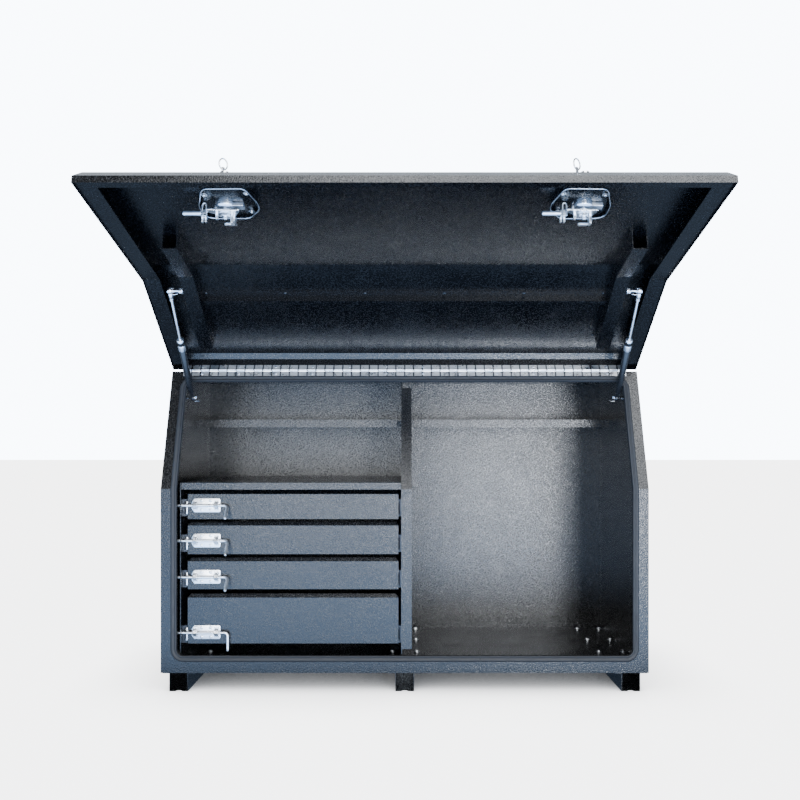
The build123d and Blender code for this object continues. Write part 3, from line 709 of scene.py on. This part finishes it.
def latch_cam(side, word):
    """Spindle, nut and washer, and the half round cam with its legs and link."""
    here = latch_frame(side)
    mesh = bmesh.new()
    turned(mesh, here, [(0.5, 14.5), (2.6, 14.5), (4, 16), (4, 20), (0.5, 20)])
    turned(mesh, here, [(4.3, 20.2), (6.8, 20.2), (6.8, 38), (4.3, 38)], hollow=True)
    nut = [(6, 20.4), (8.6, 20.4), (9.6, 21.2), (9.6, 25.5), (8.6, 26.5), (6, 26.5)]
    turned(mesh, here, nut, 6, hollow=True)
    washer = [(6.9, 27), (11.5, 27), (12.2, 27.6), (12.2, 29), (11.5, 29.4), (6.9, 29.4)]
    turned(mesh, here, washer, 32, hollow=True)
    outline = divided(softened(cam_plate_outline(), 3))
    frame_plate(mesh, here, outline, hole_in(outline, 6.9), 29.4, 33, 0.8)
    for x, foot in ((-19, 17), (13.5, 7)):
        plate(mesh, here, rounded(5.5, 9, 1.2, center=(x, 4)), foot, 34.5, 0.8)
    plate(mesh, here, rounded(27, 8, 3, center=(6, 30)), 16, 20, 0.8)
    plate(mesh, here, rounded(6, 24, 2, center=(16, 20)), 16, 30, 0.8)
    finish_piece(f"{word}_cam_plate", mesh, f"{word}_cam", "zinc_plate", [f"{word}_latch_cam"], door_open)


def latch_rod(side, word):
    """Round rod that turns with the cam."""
    rod_n = 26.5
    rod_drop = 5.0
    rod = place_at(upright_point(side * latch_x, rod_n, latch_z - rod_drop), (0, 0, 1), (-1, 0, 0))
    mesh = bmesh.new()
    turned(mesh, rod, [(0.5, 40), (4.8, 40), (4.8, 88), (4.2, 89.6), (0.5, 90)], 24)
    finish_piece(f"{word}_latch_rod", mesh, f"{word}_cam", "satin_steel", (), door_open)


def rod_clevis(side, word):
    """Block with two tabs and a wire loop on the rod's end, and the arm from the cam."""
    here = latch_frame(side)
    loop = []
    for k in range(9):
        angle = math.pi * k / 8
        loop.append((5.2 * math.cos(angle), 6.0 + 5.2 * math.sin(angle)))
    loop += [(-5.2, -18), (5.2, -18)]
    loop_points = []
    for x, y in loop:
        loop_points.append(upright_point(side * latch_x - 43 + x * 0.8, 35 + y, latch_z - 13))
    mesh = bmesh.new()
    tube(mesh, loop_points, 1.6 * MM, 8, closed=True)
    plate(mesh, here, rounded(12, 13, 2, center=(-45.5, -3)), 18, 33, 1.0)
    for x in (-49.5, -42):
        plate(mesh, here, rounded(4, 9, 1.2, center=(x, 4)), 10, 20, 0.8)
    arm = [
        upright_point(side * latch_x - 40, 31, latch_z - 4),
        upright_point(side * latch_x - 33, 33, latch_z - 4),
        upright_point(side * latch_x - 26, 31.5, latch_z - 4),
    ]
    tube(mesh, arm, 2.2 * MM, 8)
    finish_piece(f"{word}_rod_clevis", mesh, f"{word}_cam", "zinc_plate", (), door_open)


def latch_screw_heads(side, word):
    """Round screw heads on the dish inside the clamp frame."""
    mesh = bmesh.new()
    for x, z in screw_places:
        turned(mesh, latch_frame(side, -side * x, z), [
            (0.5, 43.5), (2, 43.6), (3.4, 44.2), (4, 45.4), (4, 46.2), (6.4, 46.4), (6.6, 47.6),
            (0.5, 47.6),
        ], 24)
    finish_piece(f"{word}_latch_screws", mesh, "door", "zinc_plate", (), door_open)


def latch_key(side, word):
    """Lock plug, key blade and wire bow."""
    key_shift = -10.0
    key_turn = math.radians(35)
    here = latch_frame(side, key_shift)
    mesh = bmesh.new()
    turned(mesh, here, [(0.5, 96.5), (6.9, 96.5), (6.9, 111.4), (6.2, 112.4), (0.5, 112.6)], 32)
    flat = here @ Matrix.Rotation(key_turn, 4, "Z") @ Matrix.Rotation(math.pi / 2, 4, "X")
    plate(mesh, flat, rounded(7, 26, 1, center=(0, 124)), -1.1, 1.1, 0.3)
    bow = []
    for i in range(28):
        angle = math.tau * i / 28
        bow.append(flat @ Vector((9.5 * math.cos(angle), 144 + 13 * math.sin(angle), 0)))
    tube(mesh, bow, 1.7 * MM, 10, closed=True)
    finish_piece(f"{word}_key_and_plug", mesh, f"{word}_key", "chrome", [f"{word}_latch_key"], door_open)


for side, word in ((-1, "left"), (1, "right")):
    latch_dish(side, word)
    latch_cam(side, word)
    latch_rod(side, word)
    rod_clevis(side, word)
    latch_screw_heads(side, word)
    latch_key(side, word)


# ---- drawer bolts and slides --------------------------------------------------------------
bolt_y = -281.0
drawer_left = -585.3
drawer_right = -22.0
slide_thickness = 12.7
slide_length = 500
member_height = 34.0


def inner_slide_frame(number, side):
    """Frame at the front of a drawer's own slide member, local X away from the cabinet's wall."""
    wall = drawer_left - slide_thickness if side > 0 else drawer_right + slide_thickness
    return place_at((wall * MM, front_y + 0.032, slide_middles[number] * MM), (side, 0, 0), (0, 1, 0))


def bolt_plate(number, bolt_z):
    """Back plate with a clipped left end, two strap guides, four screws and the slides' front tabs."""
    mesh = bmesh.new()
    face_y = front_y / MM + 30
    here = place_at((-535 * MM, face_y * MM, bolt_z * MM), (1, 0, 0), (0, -1, 0))
    outline = [
        (-39, -9), (-32, -18.5), (36, -18.5), (38.5, -15),
        (38.5, 15), (36, 18.5), (-32, 18.5), (-39, 9),
    ]
    plate(mesh, here, softened(outline, 3), 0.05, 2, 0.7)
    arch = [
        (-14, 2.4), (-9.5, 3.2), (-6.4, 8), (-5.2, 13), (0, 16.2),
        (5.2, 13), (6.4, 8), (9.5, 3.2), (14, 2.4),
    ]
    for x in (-28.5, 28.5):
        strap = [here @ Vector((x, y, z)) for y, z in arch]
        for shift in (-3.5, 0, 3.5):
            tube(mesh, [p + Vector((shift * MM, 0, 0)) for p in strap], 2.2 * MM, 10)
    head = [(0.5, 1.9), (4.2, 1.9), (4.0, 2.9), (2.8, 3.7), (1.2, 4.0), (0.3, 4.05)]
    for x in (-12, 12):
        for y in (-12.5, 12.5):
            turned(mesh, here @ Matrix.Translation((x, y, 0)), head, 20)
    plate(mesh, here, rounded(52, 9, 2), 1.9, 3.0, 0.5)
    tab = rounded(4.6, member_height, 0.6, 2, (10.2, 0))
    for side in (-1, 1):
        plate(mesh, inner_slide_frame(number, side), tab, -1.2, 0.3, 0.3)
    finish_piece(
        f"drawer_{number}_bolt_plate", mesh, f"drawer_{number}", "zinc_plate", [f"drawer_{number}_hardware"]
    )


def inner_slides(number):
    """Channel-shaped slide members on both sides of a drawer."""
    half = member_height / 2
    web = [
        (12.6, -half), (12.6, half), (5, half), (5, half - 1.5), (11.1, half - 1.5),
        (11.1, 1.5 - half), (5, 1.5 - half), (5, -half),
    ]
    mesh = bmesh.new()
    for side in (-1, 1):
        outline = [(x, -y * side) for x, y in web]
        plate(mesh, inner_slide_frame(number, side), outline, 0.5, slide_length, 0.25)
    inner = finish_piece(f"drawer_{number}_inner_slides", mesh, f"drawer_{number}", "zinc_plate")
    # The slide members take the darkened steel, which is painted shade.
    inner.data.materials[0] = shaded_slide_steel


def barrel_bolt(number, bolt_z, grip_deg):
    """Round bolt with a domed tip, a stop ring and a bent grip."""
    grip_x = -471.0
    tip_x = -610.9
    reach = 46.0
    radius = 4.0
    bend_radius = 9.0
    bend_start = grip_x - radius - bend_radius
    down = math.radians(grip_deg)
    hang = Vector((0, -math.sin(down), -math.cos(down)))
    centre = Vector((0, bolt_y, bolt_z))
    grip = centre + Vector((grip_x - radius, 0, 0))
    points = [centre + Vector((x, 0, 0)) for x in (tip_x + 1.5, -560, -520, bend_start)]
    for i in range(1, 8):
        angle = math.pi / 2 * i / 8
        ahead = Vector((bend_start + bend_radius * math.sin(angle), 0, 0))
        points.append(centre + ahead + hang * bend_radius * (1 - math.cos(angle)))
    for along in (bend_radius, reach):
        points.append(grip + hang * along)
    mesh = bmesh.new()
    tube(mesh, [p * MM for p in points], (radius - 0.05) * MM, 16)
    tip = place_at(Vector((tip_x + 1.5, bolt_y, bolt_z)) * MM, (0, 1, 0), (-1, 0, 0))
    turned(mesh, tip, [(0.5, -1), (3.95, -1), (3.9, 0), (3.2, 0.9), (1.8, 1.4), (0.4, 1.5)], 20)
    foot = place_at((grip + hang * reach) * MM, (1, 0, 0), hang)
    turned(mesh, foot, [(0.5, -1), (3.95, -1), (3.9, 1.6), (3.2, 3), (1.8, 3.8), (0.4, 4)], 20)
    stop = place_at(Vector((-494, bolt_y, bolt_z)) * MM, (0, 1, 0), (-1, 0, 0))
    turned(mesh, stop, [(3.8, -1.6), (5.6, -1.2), (5.8, 0), (5.6, 1.2), (3.8, 1.6)], 20)
    finish_piece(
        f"drawer_{number}_bolt_bar", mesh, f"bolt_{number}", "zinc_plate", [f"drawer_{number}_bolt"]
    )


grip_angles = {1: 48.0, 2: 44.0, 3: 50.0, 4: 0.0}
slide_middles = {}
for number, grip_deg in grip_angles.items():
    bolt_low, bolt_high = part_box(f"drawer_{number}_slide_middles")
    slide_middles[number] = (bolt_low[2] + bolt_high[2]) / 2 / MM
    axis_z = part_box(f"drawer_{number}_bolt")[1][2] / MM - 4
    bolt_plate(number, axis_z)
    inner_slides(number)
    barrel_bolt(number, axis_z, grip_deg)


# ---- rivets and small fasteners -----------------------------------------------------------
def dome(mesh, place, radius, height, segments=20):
    """Domed rivet head standing on a surface."""
    profile = [(0.3 * radius, -0.3), (radius, -0.3), (radius, 0.12 * height)]
    for i in range(1, 6):
        angle = math.pi / 2 * i / 6
        profile.append((radius * math.cos(angle), height * (0.12 + 0.88 * math.sin(angle))))
    profile.append((0.06 * radius, height))
    turned(mesh, place, profile, segments)


def slope_frame(x, n, v, inwards=False):
    """Frame on the sloping front with local Z facing out, or in."""
    out = Vector((0, -math.cos(lean), math.sin(lean)))
    return place_at(slope_point(x, n, v), (1, 0, 0), -out if inwards else out)


def hinge_rivets():
    """Rivets of both hinge leaves, and of the door's cross rail and channels."""
    length = slant_length / MM
    rivet_pitch = 103.0
    rivet_count = 12
    columns = [(i - (rivet_count - 1) / 2) * rivet_pitch for i in range(rivet_count)]
    mesh = bmesh.new()
    for x in columns:
        dome(mesh, slope_frame(x, 1.5, length - 8), 3.4, 1.5)
    finish_piece("body_leaf_rivets", mesh, "box", "satin_steel", ["hinge_body_rivets"])
    mesh = bmesh.new()
    down_slope = (0, -math.sin(lean), -math.cos(lean))
    for x in columns:
        dome(mesh, place_at(slope_point(x, 15.5, length + 4.5), (1, 0, 0), down_slope), 3.4, 1.5)
    finish_piece("door_leaf_rivets", mesh, "door", "satin_steel", ["door_rivets"], door_open)
    mesh = bmesh.new()
    for i in range(6):
        dome(mesh, slope_frame(-515 + 206 * i, 54, 93, True), 4.5, 2.2)
    for side in (-1, 1):
        for x, v in ((517, 262), (573, 268)):
            dome(mesh, slope_frame(side * x, 56, v, True), 5, 3)
    finish_piece("door_rail_rivets", mesh, "door", "powder_coat", (), door_open)


def channel_end_rivets():
    """Rivets beside the open ends of the door's channels."""
    mesh = bmesh.new()
    for side in (-1, 1):
        for x in (552, 534):
            spot = place_at(upright_point(side * x, 22, 340), (1, 0, 0), (0, 1, 0))
            dome(mesh, spot, 5, 2)
    finish_piece("channel_end_rivets", mesh, "door", "powder_coat", (), door_open)


def foot_bolt_sets():
    """Flanged hexagon bolts of the feet with their washers and nuts."""
    mesh = bmesh.new()
    low = foot_top / MM
    foot_middles = (-603.0, 0.0, 603.0)
    bolt_rows = (75.0, 240.0, 405.0, 570.0)
    for foot_x in foot_middles:
        for side in (-1, 1):
            for row in bolt_rows:
                x = foot_x + side * 35
                here = place_at((x * MM, front_y + row * MM, 0), (1, 0, 0), (0, 0, 1))
                turned(mesh, here, [
                    (0.5, low + 2), (8.6, low + 2), (8.6, low + 2.8), (7, low + 3.4), (0.5, low + 3.4),
                ], 24)
                plate(mesh, here, hexagon(7.1), low + 3.2, low + 7.3, 0.7)
                turned(mesh, here, [
                    (0.4, low - 12), (3.4, low - 12), (4, low - 11.3), (4, low - 2), (0.4, low - 2),
                ], 16)
                plate(mesh, here, hexagon(7.1), low - 8.5, low - 2.1, 0.7)
    finish_piece("foot_bolt_sets", mesh, "box", "zinc_plate", ["foot_bolts"])


hinge_rivets()
channel_end_rivets()
foot_bolt_sets()


# ---- folded edges of the sheet metal ------------------------------------------------------
edge_width = {"powder_coat": 0.8, "chrome": 1.2, "zinc_plate": 0.3, "satin_steel": 0.4}
for part in frame["record"]["subparts"]:
    cad_object = nodes[part["node"]]
    width = edge_width.get(part["material_slot"])
    if cad_object.hide_render or width is None:
        continue
    soft = cad_object.modifiers.new("soft_edges", "BEVEL")
    soft.width = width * MM
    soft.segments = 2
    soft.limit_method = "ANGLE"
    soft.angle_limit = math.radians(35)
    soft.harden_normals = True
    soft.use_clamp_overlap = True


# ---- floor, light and camera --------------------------------------------------------------
backdrop_strength = 12.0
surround_front = 0.3
surround_back = 1.2
floor_glow = 5.0
floor_reflected = 5.5
reflected_glow_tint = (0.4, 0.62, 1.0)
soft_boxes = (
    ("front_box", (1.05, -4.2, 0.4), (0.3, 0, 0.5), 0.7, 0.65, 105),
    ("left_box", (-0.75, -4.2, 0.55), (-0.2, 0, 0.5), 0.7, 0.5, 26),
    ("wide_box", (0.9, -6.0, 2.0), (0, 0, 0.2), 6.0, 2.6, 230),
    ("top_box", (0.8, -3.6, 3.6), (0, -0.3, 0.6), 3.6, 1.4, 170),
)
eye_place = (0, -2.7057, 0.6543)
lens_mm = 40.66
lens_shift = (-0.0059, 0.0575)


def pale_floor():
    """Glowing floor: pale to the eye with painted contact shadows; in reflections it glows bluish ahead of the box
    and is dark elsewhere.
    """
    size = 40.0
    mesh = bpy.data.meshes.new("floor")
    mesh.from_pydata(
        [(-size, -size, 0), (size, -size, 0), (size, size, 0), (-size, size, 0)], [], [(0, 1, 2, 3)]
    )
    floor = bpy.data.objects.new("floor", mesh)
    bpy.context.scene.collection.objects.link(floor)
    pale, tree, shader = new_material("pale_floor", (0.16, 0.2, 0.26), 0.6, specular=0.2)
    fine = noise(tree, object_space(tree), 3, 3)
    tree.links.new(ramp(tree, fine, 0.55, 0.65), shader.inputs["Roughness"])
    seen = add(tree, "ShaderNodeLightPath").outputs["Is Camera Ray"]
    # Painted contact shadow: the glow seen by the camera is dimmed by ambient occlusion near the box.
    nearby = add(tree, "ShaderNodeAmbientOcclusion", Distance=0.3)
    open_sky = add(tree, "ShaderNodeMath", operation="MULTIPLY")
    tree.links.new(nearby.outputs["AO"], open_sky.inputs[0])
    tree.links.new(seen, open_sky.inputs[1])
    tree.links.new(blend_colors(tree, seen, reflected_glow_tint, (1, 1, 1)), shader.inputs["Emission Color"])
    place = add(tree, "ShaderNodeSeparateXYZ")
    tree.links.new(add(tree, "ShaderNodeTexCoord").outputs["Object"], place.inputs["Vector"])
    # Painted pool of light: in reflections the floor glows only ahead of the box.
    lit_ahead = ramp(tree, place.outputs["Y"], floor_reflected, 0.1, -0.75, -0.35)
    glow = add(tree, "ShaderNodeMix")
    tree.links.new(seen, glow.inputs["Factor"])
    tree.links.new(lit_ahead, glow.inputs["A"])
    tree.links.new(ramp(tree, open_sky.outputs[0], 0, floor_glow), glow.inputs["B"])
    tree.links.new(glow.outputs["Result"], shader.inputs["Emission Strength"])
    mesh.materials.append(pale)


def surround():
    """Pale backdrop to the eye; in reflections it is dim, and least dim behind the box."""
    world = bpy.data.worlds.new("surround")
    world.use_nodes = True
    tree = world.node_tree
    direction = add(tree, "ShaderNodeSeparateXYZ")
    tree.links.new(add(tree, "ShaderNodeTexCoord").outputs["Generated"], direction.inputs["Vector"])
    around = ramp(tree, direction.outputs["Y"], surround_front, surround_back, -0.2, 0.8)
    seen = add(tree, "ShaderNodeLightPath").outputs["Is Camera Ray"]
    mix = add(tree, "ShaderNodeMix")
    tree.links.new(seen, mix.inputs["Factor"])
    tree.links.new(around, mix.inputs["A"])
    mix.inputs["B"].default_value = backdrop_strength
    tree.nodes["Background"].inputs["Color"].default_value = (0.8, 0.89, 1, 1)
    tree.links.new(mix.outputs["Result"], tree.nodes["Background"].inputs["Strength"])
    bpy.context.scene.world = world


def lights():
    """Large soft boxes in front of the box."""
    for name, place, target, width, height, power in soft_boxes:
        light = bpy.data.lights.new(name, "AREA")
        light.shape = "RECTANGLE"
        light.size = width
        light.size_y = height
        light.energy = power
        light.color = (0.93, 0.96, 1)
        lamp = bpy.data.objects.new(name, light)
        lamp.location = place
        aim = Vector(target) - Vector(place)
        lamp.rotation_euler = aim.to_track_quat("-Z", "Y").to_euler()
        bpy.context.scene.collection.objects.link(lamp)


def view():
    """Camera square to the front."""
    camera = bpy.data.cameras.new("camera")
    camera.lens = lens_mm
    camera.sensor_width = 36
    camera.shift_x, camera.shift_y = lens_shift
    eye = bpy.data.objects.new("camera", camera)
    eye.location = eye_place
    eye.rotation_euler = (math.radians(90), 0, 0)
    bpy.context.scene.collection.objects.link(eye)
    bpy.context.scene.camera = eye


pale_floor()
surround()
lights()
view()
